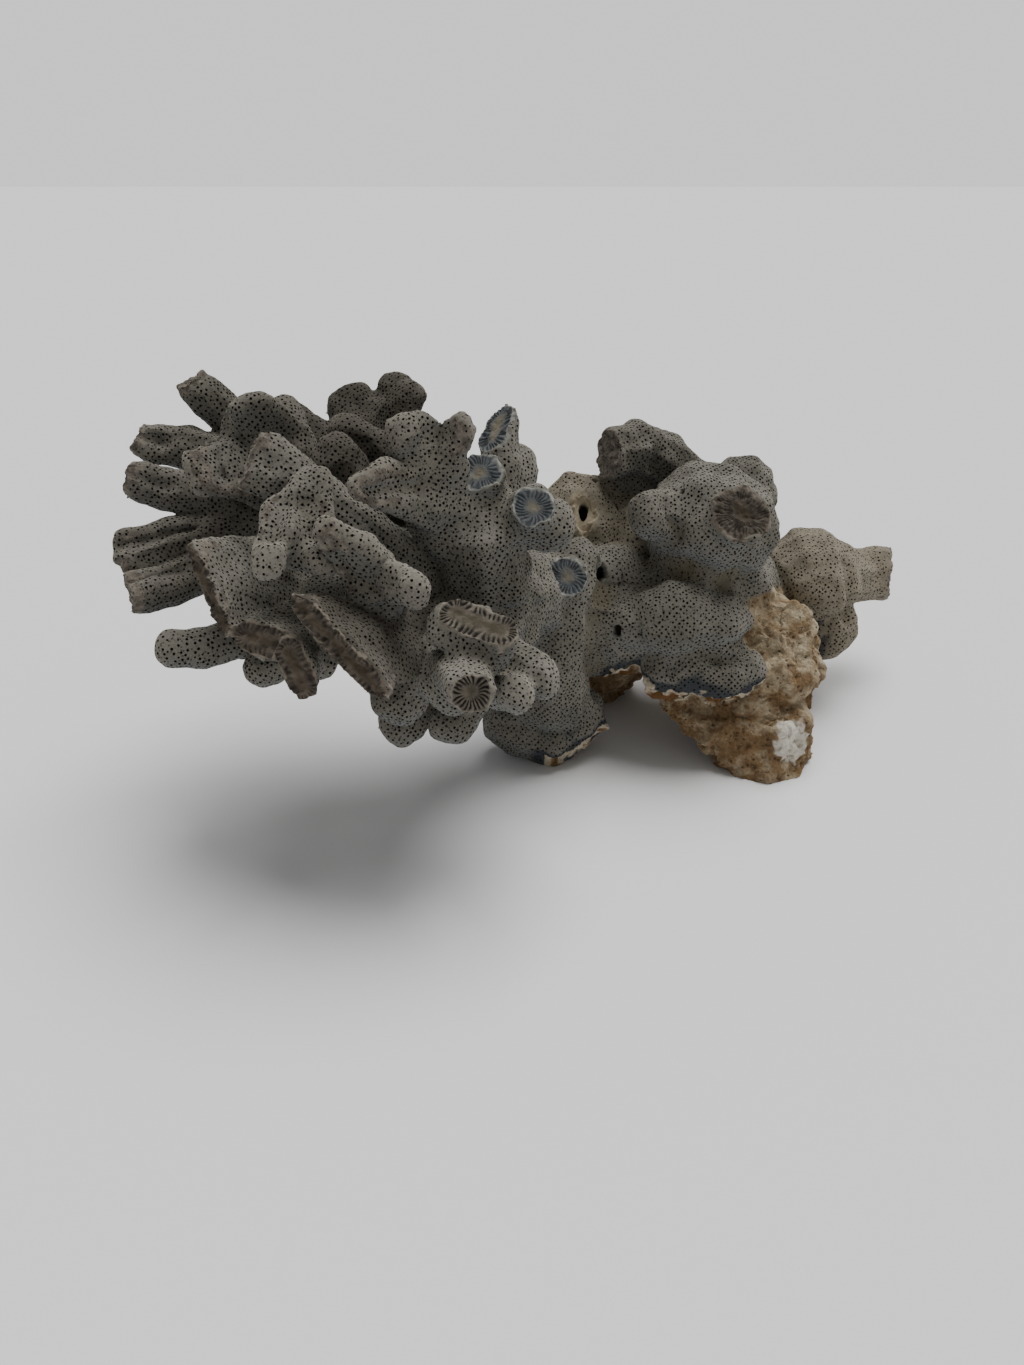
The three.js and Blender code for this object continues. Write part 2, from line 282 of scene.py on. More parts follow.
# %% Sink the creases and the grooves
# Each row: the node, the crease's half width and depth in millimetres, and places along it in
# percent of the node's box. A ridge has a depth under 0.
CREASES = [
    ("trunk", 4.2, 3.2, [(30, 20, 90), (41, 20, 92), (52, 16, 95), (74, 16, 86), (84, 24, 68)]),
    ("trunk", 3.6, 3.0, [(30, 20, 90), (27, 9, 68), (27, 6, 50), (28, 10, 30), (30, 16, 15)]),
    ("trunk", 2.4, 1.2, [(28, 8, 55), (38, 7, 42), (51, 5, 36)]),
    ("trunk", 2.4, 2.4, [(87, 26, 60), (84, 15, 48), (76, 5, 42), (68, 3, 42)]),
    ("trunk", 6.0, -2.2, [(42, 5, 64), (72, 6, 60)]),
    ("trunk", 5.0, -0.8, [(55, 8, 90), (60, 8, 80)]),
    ("upper_lobe", 1.6, 1.6, [(28, 20, 90), (26, 15, 72), (28, 15, 50)]),
    ("top_finger", 1.8, 1.8, [(46, 15, 80), (44, 22, 62), (50, 30, 40)]),
    ("right_end_branch", 2.0, 1.8, [(50, 10, 95), (46, 8, 70), (50, 10, 40)]),
    ("right_end_branch", 2.2, 1.4, [(10, 10, 60), (30, 4, 50), (45, 6, 45)]),
    ("base_leg", 2.4, 2.4, [(10, 20, 50), (30, 15, 42), (70, 15, 44), (95, 40, 48)]),
    ("hand_blade", 2.0, 1.8, [(2, 50, 66), (13, 50, 64), (38, 20, 66)]),
    ("hand_blade", 2.0, 1.6, [(45, 15, 90), (47, 20, 70), (52, 10, 50)]),
    ("left_fan_branch", 1.6, 1.2, [(8, 60, 100), (32, 60, 88)]),
    ("left_fan_branch", 1.9, 2.2, [(3, 30, 56), (20, 36, 58), (47, 52, 62)]),
    ("left_fan_branch", 1.7, 1.6, [(10, 0, 34), (28, 10, 38), (45, 25, 38)]),
    ("upper_diagonal_branch", 1.6, 1.4, [(2, 50, 95), (16, 40, 90)]),
    ("upper_diagonal_branch", 2.0, 2.0, [(23, 20, 84), (19, 8, 70)]),
    ("upper_diagonal_branch", 2.0, 1.8, [(34, 20, 82), (38, 14, 68)]),
    ("bird_blade", 2.0, 1.8, [(20, 10, 80), (45, 8, 60), (80, 8, 45)]),
    ("bird_blade", 1.5, -1.5, [(10, 17, 99), (30, 16, 92), (58, 14, 80), (85, 7, 70)]),
    ("bird_blade", 2.2, -2.2, [(86, 3, 66), (93, 3, 66)]),
    ("bird_blade", 1.8, -1.4, [(62, 12, 95), (64, 12, 95)]),
    ("upper_diagonal_branch", 1.5, -1.0, [(28, 36, 86), (28, 20, 80), (27, 12, 70)]),
    ("upper_diagonal_branch", 1.6, -2.0, [(22, 4, 64), (18, 0, 58)]),
    ("upper_diagonal_branch", 2.0, -1.8, [(38, 12, 58), (40, 12, 54)]),
    ("shark_fin_blade", 1.5, -1.5, [(47, 50, 92), (30, 25, 84), (16, 10, 74)]),
    ("shark_fin_blade", 2.0, -1.6, [(48, 50, 98), (50, 52, 98)]),
    ("shark_fin_blade", 2.0, -1.4, [(90, 55, 98), (92, 55, 98)]),
    ("shark_fin_blade", 2.6, 2.4, [(74, 90, 100), (72, 50, 98), (66, 30, 80)]),
    ("shark_fin_blade", 2.0, 1.8, [(12, 10, 66), (30, 25, 62), (50, 35, 60)]),
]
tree = skin_tree()
places = points_of(mesh)
arrows = normals_of(mesh)
for name, half_width, depth, spots in CREASES:
    line = [spot_on(tree, name, *(percent / 100 for percent in spot))[0] for spot in spots]
    gap = distance_to_line(places, line)
    sink = depth * MM * np.exp(-(gap / (half_width * MM)) ** 2)
    places -= sink[:, None] * arrows
set_points(mesh, places)
print("creases:", len(CREASES))

# %% [markdown]
# ## Broken ends
# Many fingers and blades are snapped off. A break is nearly flat, and shows the tubes inside the
# coral, which run from a middle line out to the rim. Fresh breaks are slate blue with an ochre
# middle, and old ones are brown. In the frame each break is a flat facet, and its direction is
# all that is needed to find it again: its middle, its length and its width are measured there.
# Other fingers are only worn blunt. Those are cut a little short, square to the finger.

# %% Find the broken facets in the frame
FRESH = "fresh_break"
OLD = "old_break"
CRUMBLED = "crumbled_break"
WORN = "worn_end"
BREAKS = [
    ("middle_column", (0, -0.8, 0.6), FRESH),
    ("centre_stem", (0, -0.75, 0.65), FRESH),
    ("centre_stem", (-0.6, -0.3, 0.75), FRESH),
    ("centre_stem", (-0.1, -0.6, 0.8), FRESH),
    ("upper_lobe", (0, -0.8, 0.6), CRUMBLED),
    ("top_finger", (-0.9, -0.4, 0.1), WORN),
    ("right_end_branch", (0.9, -0.3, 0.1), WORN),
    ("lower_centre_branch", (0, -0.5, 0.85), OLD),
    ("lower_centre_branch", (0.1, -0.97, 0.2), OLD),
    ("diagonal_blade", (-0.3, -0.85, 0.3), CRUMBLED),
    ("lower_left_branch", (-0.6, -0.75, 0.2), CRUMBLED),
    ("lower_left_branch", (-0.2, -0.85, 0.5), CRUMBLED),
    ("lower_left_branch", (-0.1, -0.9, 0.4), CRUMBLED),
]
TIPS = [  # worn tips: node, way the finger points, how many millimetres shorter it is
    ("left_fan_branch", (-0.75, -0.66, 0), 1.6),
    ("left_fan_branch", (-0.89, -0.42, 0.03), 1.8),
    ("left_fan_branch", (-0.92, -0.1, 0.4), 1.4),
    ("hand_blade", (-0.93, 0.0, 0.3), 1.0),
    ("hand_blade", (-0.5, 0.1, 0.9), 0.6),
    ("upper_diagonal_branch", (-0.85, -0.1, 0.5), 1.2),
    ("rear_branch", (-0.75, 0.3, 0.5), 0.8),
]
SAME_WAY = 0.9995  # how closely a facet's normal has to match
FACET_REACH = 2.2 * MM  # how far over and under a facet the skin counts as its break


def describe(name, age, middle, way, flat, reach):
    """Measure a flat end from the offsets of its points from its middle."""
    long_way = np.linalg.svd(flat, full_matrices=False)[2][0]
    short_way = np.cross(way, long_way)
    return {"node": name, "age": age, "middle": middle, "way": way, "reach": reach,
            "long_way": long_way, "short_way": short_way,
            "half_length": np.abs(flat @ long_way).max(),
            "half_width": np.abs(flat @ short_way).max()}


def find_break(name, direction, age):
    way = np.array(direction) / np.linalg.norm(direction)
    mesh = frame["nodes"][name].data
    corners = []
    areas = []
    for face in mesh.polygons:
        if np.dot(way, face.normal) > SAME_WAY:
            corners.append([mesh.vertices[index].co[:] for index in face.vertices])
            areas.append(face.area)
    corners = np.array(corners)
    middle = (corners.mean(1) * np.array(areas)[:, None]).sum(0) / sum(areas)
    return describe(name, age, middle, way, corners.reshape(-1, 3) - middle, FACET_REACH)


def find_tip(name, direction, shorter):
    way = np.array(direction) / np.linalg.norm(direction)
    corners = np.array([vertex.co[:] for vertex in frame["nodes"][name].data.vertices])
    tip = corners[(corners @ way).argmax()]
    shorter *= MM
    offset = places - tip
    height = offset @ way + shorter
    ring = (np.abs(height) < 0.5 * MM) & (np.linalg.norm(offset, axis=1) < 8 * MM)
    middle = places[ring].mean(0)
    flat = places[ring] - middle
    flat -= (flat @ way)[:, None] * way
    return describe(name, WORN, middle, way, flat, shorter + 1.2 * MM)


breaks = [find_break(*entry) for entry in BREAKS] + [find_tip(*entry) for entry in TIPS]
for found in breaks:
    print(found["node"], found["age"], round(2 * found["half_length"] / MM, 1), "by",
          round(2 * found["half_width"] / MM, 1), "mm")

# %% Helpers that place a point of the skin on a break


def on_break(found, places):
    """Height over the facet, share of the way from its middle line to its rim, way round it."""
    offset = places - found["middle"]
    along = offset @ found["long_way"]
    across = offset @ found["short_way"]
    spine = max(found["half_length"] - found["half_width"], 0)
    nearest = np.clip(along, -spine, spine)
    share = np.hypot(along - nearest, across) / found["half_width"]
    round_rim = nearest + found["half_width"] * np.arctan2(across, along - nearest)
    return offset @ found["way"], share, round_rim


def break_mask(found, places, arrows):
    height, share, round_rim = on_break(found, places)
    near = (np.abs(height) < found["reach"]) & (share < 1.5) & (arrows @ found["way"] > 0.1)
    ragged = np.zeros(len(places))
    wander = np.zeros(len(places))
    ragged[near] = 0.22 * noise_at(places[near], 3.2 * MM)
    wander[near] = 1.2 * MM * noise_at(places[near], 3.5 * MM, 2, 31.0)
    mask = np.where(near, 1 - ramp(share + ragged, 0.94, 1.12), 0)
    return mask, height, share + ragged, round_rim + wander


on_first = break_mask(breaks[0], places, arrows)[0] > 0.5
print("points on the first break:", on_first.sum())

# %% [markdown]
# ## Bored holes
# Worms and clams have bored into the dead trunk. The largest is a shallow pale pit on the left
# hump with a dark slot in it, and there are a few round holes. They are pressed straight in, and
# where they are not pale their inside is painted dark as shade. One shallow dip on the hump, 0.8
# mm deep, carries only painted shade. The last entry is no hole but a chalky lump on the leg,
# which stands a little proud.

# %% Place the holes
HOLES = [  # node, place in shares of its box, half length, half width, depth in mm, how pale
    ("left_hump", (0.33, 0.08, 0.78), 4.6, 3.4, 1.3, 1.0),
    ("left_hump", (0.34, 0.1, 0.8), 2.2, 0.9, 3.5, 0.0),
    ("left_hump", (0.43, 0.39, 0.97), 0.9, 0.8, 2.5, 0.3),
    ("left_hump", (0.55, 0.38, 0.86), 1.1, 0.9, 2.5, 0.3),
    # A shallow dip painted dark: painted shade on the hump.
    ("left_hump", (0.6, 0.3, 0.78), 1.8, 1.2, 0.8, 0.0),
    ("trunk", (0.3, 0.2, 0.93), 2.0, 1.4, 4.0, 0.0),
    ("trunk", (0.33, 0.09, 0.6), 1.5, 0.9, 2.0, 0.0),
    ("trunk", (0.38, 0.12, 0.3), 1.6, 1.0, 2.0, 0.0),
    ("upper_lobe", (0.33, 0.35, 0.85), 0.9, 0.8, 2.5, 0.0),
    ("upper_lobe", (0.72, 0.3, 0.96), 1.1, 0.8, 1.0, 0.0),
    ("base_leg", (0.76, 0.13, 0.24), 4.6, 3.6, -0.5, 1.0),
]
tree = skin_tree()


def place_hole(name, shares, half_length, half_width, depth, pale):
    middle, way = spot_on(tree, name, *shares)
    long_way = np.array([0, 0, 1]) - way[2] * way
    long_way /= np.linalg.norm(long_way)
    return {"middle": middle, "way": way, "long_way": long_way,
            "short_way": np.cross(way, long_way), "half_length": half_length * MM,
            "half_width": half_width * MM, "depth": depth * MM, "pale": pale}


def hole_share(found, places):
    """0 in the middle of a hole and 1 at its rim."""
    offset = places - found["middle"]
    share = np.hypot(offset @ found["long_way"] / found["half_length"],
                     offset @ found["short_way"] / found["half_width"])
    share[np.abs(offset @ found["way"]) > 5 * MM] = 9
    near = share < 2
    share[near] += 0.35 * noise_at(places[near], 1.5 * MM, 2, 23.0)
    return share


holes = [place_hole(*entry) for entry in HOLES]
print("holes:", len(holes))

# %% Cut the skin finer where the breaks and the holes are
places = points_of(mesh)
arrows = normals_of(mesh)
to_refine = np.zeros(len(places), bool)
for found in breaks:
    to_refine |= break_mask(found, places, arrows)[0] > 0.02
for found in holes:
    to_refine |= hole_share(found, places) < 1.5
select_points(mesh, to_refine)
with edit_mode(skin):
    bpy.ops.mesh.select_mode(type="FACE")
    bpy.ops.mesh.subdivide(number_cuts=2)
print("skin with fine breaks:", len(mesh.vertices), "points")

# %% Flatten the breaks, press in the tubes and sink the holes
TUBE_SPACING = 1.05 * MM
RELIEF = {  # depth of the tubes, then height and size of the lumps
    FRESH: (0.28 * MM, 0.35 * MM, 2.4 * MM),
    OLD: (0.34 * MM, 0.5 * MM, 2.6 * MM),
    CRUMBLED: (0.2 * MM, 1.0 * MM, 2.2 * MM),
    WORN: (0.08 * MM, 0.5 * MM, 1.8 * MM),
}


def write_attribute(mesh, name, values, domain="POINT"):
    kind, field = ("FLOAT_VECTOR", "vector") if values.ndim == 2 else ("FLOAT", "value")
    layer = mesh.attributes.new(name, kind, domain)
    layer.data.foreach_set(field, values.astype(np.float32).ravel())


places = points_of(mesh)
arrows = normals_of(mesh)
ends_of = {age: np.zeros(len(places)) for age in RELIEF}
break_place = np.zeros((len(places), 3))
for found in breaks:
    mask, height, share, round_rim = break_mask(found, places, arrows)
    tube_depth, lump, lump_size = RELIEF[found["age"]]
    tubes = 0.5 + 0.5 * np.cos(2 * math.pi * round_rim / TUBE_SPACING)
    relief = -tube_depth * tubes * ramp(share, 0.25, 0.6) * (1 - ramp(share, 0.9, 1.0))
    relief += 0.45 * MM - 0.25 * MM * (1 - ramp(share, 0.0, 0.9))
    hit = mask > 0.01
    relief[hit] += lump * noise_at(places[hit], lump_size, 3, 4.0)
    rise = np.minimum(relief - height, 2 * MM * (1 - ramp(share, 0.75, 1.0)))
    places += (rise * mask)[:, None] * found["way"]
    target = ends_of[found["age"]]
    np.maximum(target, mask, out=target)
    break_place[hit] = np.column_stack([round_rim[hit] / MM, share[hit], np.zeros(hit.sum())])
bored = np.zeros(len(places))
pale = np.zeros(len(places))
hole_zone = np.zeros(len(places))
for found in holes:
    share = hole_share(found, places)
    inside = 1 - ramp(share, 0.6, 1.0)
    places -= (found["depth"] * inside)[:, None] * found["way"]
    hole_zone = np.maximum(hole_zone, 1 - ramp(share, 1.2, 1.5))
    # Where a hole is not pale, its inside is marked for painted shade.
    bored = np.maximum(bored * (1 - found["pale"] * inside), inside * (1 - found["pale"]))
    pale = np.maximum(pale, found["pale"] * (1 - ramp(share, 0.75, 1.45)))
set_points(mesh, places)
places_on = {"break_place": break_place, "bored": bored, "pale": pale, "hole_zone": hole_zone}
for name, values in {**ends_of, **places_on}.items():
    write_attribute(mesh, name, values)
print("points on breaks:", {age: int((values > 0.5).sum()) for age, values in ends_of.items()})

# %% [markdown]
# ## A finer skin
# The pores are about half a millimetre wide, so the skin needs points closer than that.
# Poking puts a point in the middle of every face. It also leaves eight edges at each old point,
# and a point with eight edges bevels into a nearly round hole later on.

# %% Poke the faces outside the breaks
at_detail = np.maximum(np.max(list(ends_of.values()), axis=0), hole_zone)
select_points(mesh, at_detail < 0.005)
with edit_mode(skin):
    bpy.ops.mesh.select_mode(type="FACE")
    bpy.ops.mesh.poke()
    bpy.ops.mesh.select_all(action="SELECT")
    bpy.ops.mesh.quads_convert_to_tris()
print("fine skin:", len(mesh.vertices), "points,", len(mesh.polygons), "faces")

# %% [markdown]
# ## Where the surface bulges, and where it is thin
# On the real piece the tips and ridges are rubbed warm and bare, and dust stays in the hollows;
# deep in the fan the hollows are also painted nearly black as shade. All of these follow the
# shape, so the skin is compared with a smoother copy of itself: what stands proud of it is a tip,
# and what lies under it is a hollow. A ray shot inwards measures how thick the coral is there,
# which finds the rims of the blades.

# %% Measure the bulge and the thickness at every point
BULGE_PASSES = 60
THICKEST = 20 * MM


def read_attribute(mesh, name):
    return read(mesh.attributes[name].data, "value").astype(float)


places = points_of(mesh)
arrows = normals_of(mesh)
bulge = np.einsum("ij,ij->i", places - smoothed(places, mesh, BULGE_PASSES), arrows) / MM
bulge = smoothed(bulge, mesh, 4)
tree = skin_tree()
thickness = np.full(len(places), THICKEST / MM)
for number, (place, arrow) in enumerate(zip(places, arrows)):
    far = tree.ray_cast(Vector(place - arrow * 0.3 * MM), Vector(-arrow), THICKEST)[3]
    if far is not None:
        thickness[number] = far / MM
thickness = smoothed(thickness, mesh, 6)
print("bulge from", bulge.min().round(2), "to", bulge.max().round(2), "mm, and",
      np.percentile(bulge, [5, 25, 50, 75, 95]).round(2))

# %% [markdown]
# ## Dead crust
# The base died before the rest. It is bored, crusted and stained, and looks like rough limestone.
# It covers the leg and the heel, and lines the arch under the trunk. Two distances in millimetres
# say how far each point lies inside it: one from the nearest node, and one from how much the
# surface faces down in the arch. Noise makes both borders ragged.

# %% Mark the crust and give every point to its nearest branch
CRUST_NODES = ["base_heel", "base_leg"]
STAINED_NODES = {  # how strongly each branch is stained
    "sandy": {"left_hump": 1.0, "right_end_branch": 1.0},  # warm and pale
    # A brown layer that is partly algae stain and partly painted shade on these branches.
    "brown_stain_and_shade": {"left_fan_branch": 0.5, "hand_blade": 0.3, "rear_branch": 1.0,
              "diagonal_blade": 0.9},  # brown and dark
}
STAIN_PASSES = 60  # how far a stain fades into the next branch
ARCH_TOP = 25 * MM  # the crust reaches this high in the arch
COLUMN_TOP = 8 * MM  # and this high under the column


def tree_of(names):
    corners = []
    faces = []
    owners = []
    for name in names:
        mesh = frame["nodes"][name].data
        base = len(corners)
        corners += [vertex.co[:] for vertex in mesh.vertices]
        faces += [[base + index for index in face.vertices] for face in mesh.polygons]
        owners += [node_names.index(name)] * len(mesh.polygons)
    return BVHTree.FromPolygons(corners, faces), owners


crust_tree, crust_owners = tree_of(CRUST_NODES)
live_tree, live_owners = tree_of([name for name in node_names if name not in CRUST_NODES])
to_crust = np.empty(len(places))
to_live = np.empty(len(places))
owner = np.empty(len(places), int)
for number, place in enumerate(places):
    crust_hit = crust_tree.find_nearest(Vector(place))
    live_hit = live_tree.find_nearest(Vector(place))
    to_crust[number] = crust_hit[3]
    to_live[number] = live_hit[3]
    nearer_crust = crust_hit[3] < live_hit[3]
    owner[number] = crust_owners[crust_hit[2]] if nearer_crust else live_owners[live_hit[2]]
wander = noise_at(places, 7 * MM, 5)
leg_edge = (to_live - to_crust) / MM + 2.5 * wander + 2.2
column_low, column_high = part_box("middle_column")
arch_edge = 9 * (-arrows[:, 2] - 0.3) + 2.5 * wander
leg_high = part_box("base_leg")[1]
past_column = ramp(places[:, 0], column_high.x - 5 * MM, column_high.x + 3 * MM)
top = COLUMN_TOP + (ARCH_TOP - COLUMN_TOP) * past_column
for room in (top - places[:, 2], places[:, 0] - 0.5 * (column_low.x + column_high.x),
             leg_high.x + 2 * MM - places[:, 0]):
    arch_edge = np.minimum(arch_edge, room / MM)
arch_edge = np.clip(arch_edge, -6, 6)
leg_edge = np.clip(leg_edge, -6, 6)
crust = ramp(np.maximum(leg_edge, arch_edge), -0.4, 0.6)
print("crust covers", round(100 * (crust > 0.5).mean()), "percent of the points")

# %% Roughen the surface
worn_end = read_attribute(mesh, WORN)
broken = np.max([read_attribute(mesh, age) for age in (FRESH, OLD, CRUMBLED)], axis=0)
detail = np.max([broken, worn_end, read_attribute(mesh, "hole_zone")], axis=0)
rim = ramp(bulge, 0.1, 0.45) * (1 - ramp(thickness, 3.2, 5.5)) * (1 - crust) * (1 - broken)
rim = np.maximum(rim, worn_end)
lift = 1.0 * MM * noise_at(places, 9 * MM, 2, 3.0) * (1 - broken) * ramp(thickness, 1.5, 6)
lift += 0.25 * MM * noise_at(places, 3.6 * MM, 2, 13.0) * (1 - broken) * ramp(thickness, 1.5, 4)
lift += 0.1 * MM * noise_at(places, 1.8 * MM, 2, 7.0) * (1 - broken)
lift += 0.4 * MM * noise_at(places, 2.2 * MM, 2, 9.0) * rim
rough = 2.2 * MM * noise_at(places, 8 * MM, 5, 5.0)
rough -= 0.7 * MM * ramp(noise_at(places, 2.0 * MM, 2, 11.0), 0.1, 0.5)
edge_of_arch = ramp(arch_edge, -1.0, 0.2) * (1 - ramp(arch_edge, 1.0, 2.6))
rough += 1.0 * MM * edge_of_arch * ramp(noise_at(places, 2.6 * MM, 3, 17.0), -0.3, 0.6)
lift += crust * rough
lift *= ramp(places[:, 2], 0.2 * MM, 1.5 * MM)
places += lift[:, None] * arrows
places[:, 2] = np.maximum(places[:, 2], 0)
set_points(mesh, places)
stain_and_shade_of = {}
for stain, shares in STAINED_NODES.items():
    strength_of = np.array([shares.get(name, 0.0) for name in node_names])
    stain_and_shade_of[stain] = smoothed(strength_of[owner], mesh, STAIN_PASSES)
# Painted shade: in the hollows of the branches under the brown layer, the coral is painted nearly
# black.
stain_and_shade_of["hollow_shade"] = ramp(stain_and_shade_of["brown_stain_and_shade"], 0.0, 0.3) * ramp(-bulge, 0.0, 0.8)
shape_of = {"bulge": bulge, "rim": rim, "leg_edge": leg_edge, "arch_edge": arch_edge}
for name, values in {**shape_of, **stain_and_shade_of}.items():
    write_attribute(mesh, name, values)
print("surface roughened by up to", round(np.abs(lift).max() / MM, 2), "mm")

# %% Smooth the borders between the branches


def write_numbers(mesh, name, domain, values):
    layer = mesh.attributes.new(name, "INT", domain)
    layer.data.foreach_set("value", values.astype(np.int32))


def read_numbers(mesh, name):
    return read(mesh.attributes[name].data, "value", kind=np.int32)


def join_islands(owner, ends):
    """Give every island of a branch, but its largest, to the branch around it."""
    neighbours = [[] for place in owner]
    for start, end in ends.tolist():
        neighbours[start].append(end)
        neighbours[end].append(start)
    island = np.full(len(owner), -1)
    islands = []
    for seed in range(len(owner)):
        if island[seed] < 0:
            members = [seed]
            island[seed] = len(islands)
            for point in members:
                for other in neighbours[point]:
                    if island[other] < 0 and owner[other] == owner[seed]:
                        island[other] = len(islands)
                        members.append(other)
            islands.append(members)
    largest = {}
    for members in islands:
        name = owner[members[0]]
        largest[name] = max(largest.get(name, []), members, key=len)
    for members in islands:
        if members is not largest[owner[members[0]]]:
            around = [owner[other] for point in members for other in neighbours[point]
                      if island[other] != island[point]]
            owner[members] = np.bincount(around).argmax()
    return len(islands) - len(largest)


owner = smoothed(np.eye(len(node_names))[owner], mesh, 12).argmax(1)
moved = join_islands(owner, edges_of(mesh))
print("islands given to their surroundings:", moved)
triangles = corners_of(mesh).reshape(-1, 3)
branch = owner[triangles].max(1)
write_numbers(mesh, "branch", "FACE", branch)
lowest = np.full(len(owner), len(node_names))
highest = np.full(len(owner), -1)
for column in triangles.T:
    np.minimum.at(lowest, column, branch)
    np.maximum.at(highest, column, branch)
on_border = lowest != highest
for index, name in enumerate(node_names):
    print(name, (branch == index).sum(), "faces")

# %% [markdown]
# ## Pores
# Each pore is a little round shaft that held a polyp, about half a millimetre wide and 1.1 mm from
# the next. There are some thirty thousand, scattered but never touching. Points of the skin are
# taken in a sweep across the coral, and each one kept blocks its neighbours. Beveling a kept point
# opens a round hole, and insetting the hole sinks it. A bump map would look the same from far
# away, but real shafts stay dark from every side, as they do on the coral.

# %% Draw the pores
PORE_GAP = 0.88 * MM  # no two pore centres are closer, so they lie about 1.1 mm apart
SWEEP = (0.6, 0.5, 0.62)  # way in which the pores are laid, which packs them closely
PORE_RADIUS = [0.22 * MM, 0.29 * MM]
PORE_DEPTH = 0.5 * MM
PORE_TAPER = 0.05 * MM  # how much narrower the shaft is at its bottom
dice = np.random.default_rng(12)

count = neighbour_counts(mesh)
closed = ramp(np.maximum(leg_edge, arch_edge), -1.6, 0.0)
worn = ramp(bulge, 0.35, 0.9)
filled = ramp(-bulge, 0.25, 0.7)
chance = (1 - closed) * (1 - ramp(detail, 0.0, 0.2)) * (1 - 0.75 * rim) * (1 - 0.2 * worn)
chance *= (1 - 0.3 * filled) * (1 - 0.45 * stain_and_shade_of["sandy"])
chance *= ramp(places[:, 2], 0.3 * MM, 1.5 * MM)
open_here = (count >= 7) & (dice.random(len(places)) < chance) & (detail < 0.05)
can_open = np.nonzero(open_here & ~on_border)[0]
near_points = kdtree.KDTree(len(can_open))
for index in can_open:
    near_points.insert(places[index], int(index))
near_points.balance()
free = np.ones(len(places), bool)
pores = []
sweep = np.argsort(places[can_open] @ np.array(SWEEP) + 0.3 * MM * dice.random(len(can_open)))
for index in can_open[sweep]:
    if free[index]:
        pores.append(index)
        for spot, neighbour, gap in near_points.find_range(places[index], PORE_GAP):
            free[neighbour] = False
print("pores:", len(pores))

# %% Shift the points a little, so that the pores follow no grid
side = dice.normal(size=places.shape)
side -= np.einsum("ij,ij->i", side, arrows)[:, None] * arrows
side /= np.linalg.norm(side, axis=1)[:, None]
shift = 0.2 * MM * dice.random(len(places)) * (detail < 0.01) * (places[:, 2] > 0.1 * MM)
set_points(mesh, places + side * shift[:, None])
print("points shifted by up to", round(shift.max() / MM, 2), "mm")

# %% Open and sink the pores
small = dice.random(len(pores)) < 0.5
size_of = np.full(len(places), -1)
size_of[np.array(pores)] = np.where(small, 0, 1)
write_numbers(mesh, "pore_size", "POINT", size_of)
write_numbers(mesh, "in_pore", "FACE", np.zeros(len(mesh.polygons)))
for size, radius in enumerate(PORE_RADIUS):
    to_open = read_numbers(mesh, "pore_size") == size
    select_points(mesh, to_open)
    with edit_mode(skin):
        bpy.ops.mesh.select_mode(type="VERT")
        bpy.ops.mesh.bevel(offset=radius, affect="VERTICES")
        bpy.ops.mesh.select_mode(type="FACE")
    # These faces later get the pore lining, which is painted dark as shade.
    hole = read(mesh.polygons, "select", kind=bool)
    in_pore = np.maximum(read_numbers(mesh, "in_pore"), hole)
    mesh.attributes["in_pore"].data.foreach_set("value", in_pore.astype(np.int32))
    with edit_mode(skin):
        bpy.ops.mesh.inset(thickness=PORE_TAPER, depth=-PORE_DEPTH, use_individual=True,
                           use_even_offset=False)
    print("opened pores of", round(2 * radius / MM, 2), "mm:", to_open.sum())

# %% [markdown]
# ## One piece for each branch
# Every branch is kept as a piece of its own, split where it forks. So each face goes to the branch
# that owns its points, and the skin is separated there. Two things keep the splits out of sight:
# every corner remembers the normal that it had on the whole skin, so light runs across a fork
# without a line, and each open end is turned inwards and capped.

# %% Finish the whole skin, and remember its normals
SHARP_ANGLE = math.radians(50)

with edit_mode(skin, everything=True):
    bpy.ops.mesh.quads_convert_to_tris()
bpy.ops.object.shade_smooth_by_angle(angle=SHARP_ANGLE)
write_attribute(mesh, "whole_arrow", read(mesh.corner_normals, "vector", 3), "CORNER")
write_attribute(mesh, "inwards", -normals_of(mesh))
print("whole skin:", len(mesh.polygons), "triangles")

# %% Split the skin into its branches
for name in node_names:
    mesh.materials.append(bpy.data.materials.new("split_" + name))
mesh.polygons.foreach_set("material_index", read_numbers(mesh, "branch"))
before = set(bpy.data.objects)
with edit_mode(skin, everything=True):
    bpy.ops.mesh.separate(type="MATERIAL")
pieces = {}
for piece in [skin, *(set(bpy.data.objects) - before)]:
    name = node_names[piece.data.attributes["branch"].data[0].value]
    piece.name = name + "_coral"
    piece.data.name = piece.name
    pieces[name] = piece
print("pieces:", len(pieces))

# %% Turn the open ends inwards and cap them
TURN_IN = 0.9 * MM


